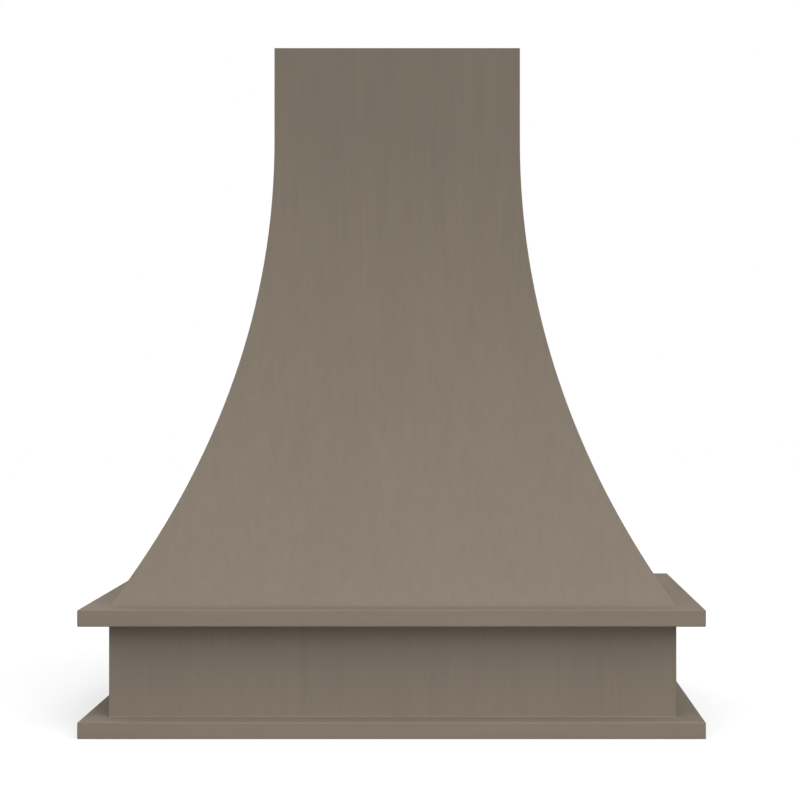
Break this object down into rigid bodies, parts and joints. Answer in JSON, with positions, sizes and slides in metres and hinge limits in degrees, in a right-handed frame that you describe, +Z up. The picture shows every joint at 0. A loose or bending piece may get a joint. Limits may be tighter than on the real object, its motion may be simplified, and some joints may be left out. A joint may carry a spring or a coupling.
{
  "type": "wooden range hood cover",
  "caption": "Wall-hung wooden cover for a kitchen extractor: a chimney that sweeps out in a concave curve onto a boxed apron between flat trims, open for the duct and insert.",
  "frame": {"origin": "on the wall, at the middle of the lower mounting rail's back face: centred across the hood and 130.175 mm above its bottom edge", "axes": "+Z up, X along the wall, +Y into the wall: the hood stands out from the wall towards -Y, so its front faces -Y"},
  "size_m": [1.0668, 0.5334, 1.2192],
  "materials": {
    "taupe_finish": "satin taupe paint or stain over wood, with a very faint upright grain",
    "birch_plywood": "bare birch plywood, sanded, with its plies showing on the edges",
    "poplar": "bare planed poplar"
  },
  "bodies": {
    "root": {"front_panel": "taupe_finish", "side_panel_left": "taupe_finish", "side_panel_right": "taupe_finish", "hip_rib_left": "birch_plywood", "hip_rib_right": "birch_plywood", "front_rib_left": "birch_plywood", "front_rib_right": "birch_plywood", "front_jack_rib_left": "birch_plywood", "front_jack_rib_right": "birch_plywood", "side_rib_left": "birch_plywood", "side_rib_right": "birch_plywood", "side_jack_rib_left": "birch_plywood", "side_jack_rib_right": "birch_plywood", "wall_rib_left": "birch_plywood", "wall_rib_right": "birch_plywood", "base_rail_front": "birch_plywood", "base_rail_back": "birch_plywood", "base_rail_left": "birch_plywood", "base_rail_right": "birch_plywood", "top_rail_front": "birch_plywood", "top_rail_back": "birch_plywood", "top_rail_left": "birch_plywood", "top_rail_right": "birch_plywood", "upper_mounting_rail": "birch_plywood", "middle_mounting_rail": "birch_plywood", "lower_mounting_rail": "birch_plywood", "apron_front": "taupe_finish", "apron_left": "taupe_finish", "apron_right": "taupe_finish", "upper_trim_front": "taupe_finish", "upper_trim_left": "taupe_finish", "upper_trim_right": "taupe_finish", "lower_trim_front": "taupe_finish", "lower_trim_left": "taupe_finish", "lower_trim_right": "taupe_finish", "insert_panel": "birch_plywood", "insert_cleat_front": "poplar", "insert_cleat_left": "poplar", "insert_cleat_right": "poplar", "front_glue_block_left": "poplar", "front_glue_block_right": "poplar", "rear_glue_block_left": "poplar", "rear_glue_block_right": "poplar"}
  },
  "joints": []
}
